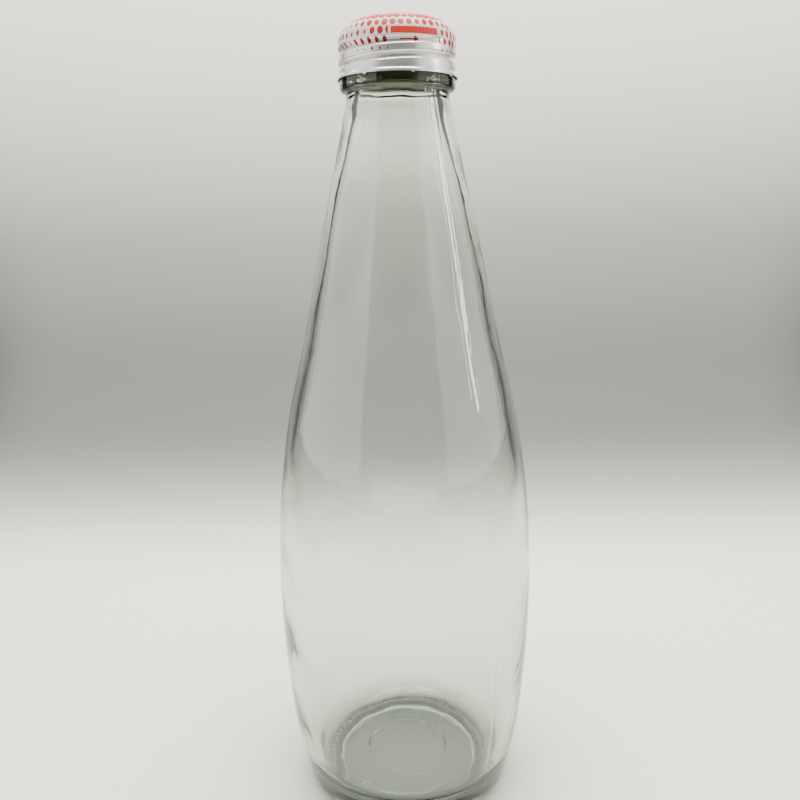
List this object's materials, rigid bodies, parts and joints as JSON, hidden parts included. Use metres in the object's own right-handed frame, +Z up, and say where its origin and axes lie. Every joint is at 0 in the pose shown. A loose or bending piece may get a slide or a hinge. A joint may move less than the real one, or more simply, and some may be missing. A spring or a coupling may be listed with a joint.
{
  "type": "glass soda bottle",
  "caption": "Tall conical clear glass soda bottle with a rounded belly, threaded neck and a printed aluminium screw cap with a moulded liner.",
  "frame": {"origin": "on the bottle's axis, in the plane of the surface it stands on", "axes": "+Z up along the bottle's axis, -Y towards the front, where the cap's printed bar is"},
  "size_m": [0.0678, 0.0678, 0.199],
  "materials": {
    "clear_glass": "gloss",
    "printed_aluminium": "satin",
    "liner_plastic": "matte"
  },
  "bodies": {
    "bottle": {"bottle": "clear_glass"},
    "liner": {"cap_liner": "liner_plastic"},
    "cap": {"cap_shell": "printed_aluminium"}
  },
  "joints": [
    {"name": "cap_lift", "type": "slide", "parent": "bottle", "child": "liner", "axis": [0, 0, 1], "range_m": [0, 0.0127]},
    {"name": "cap_turn", "type": "hinge", "parent": "liner", "child": "cap", "pos_m": [0, 0, 0.19], "axis": [0, 0, 1], "range_deg": [0, 1440]}
  ],
  "couplings": [
    {"joint": "cap_lift", "follows": "cap_turn", "m_per_rad": 0.00050531}
  ]
}
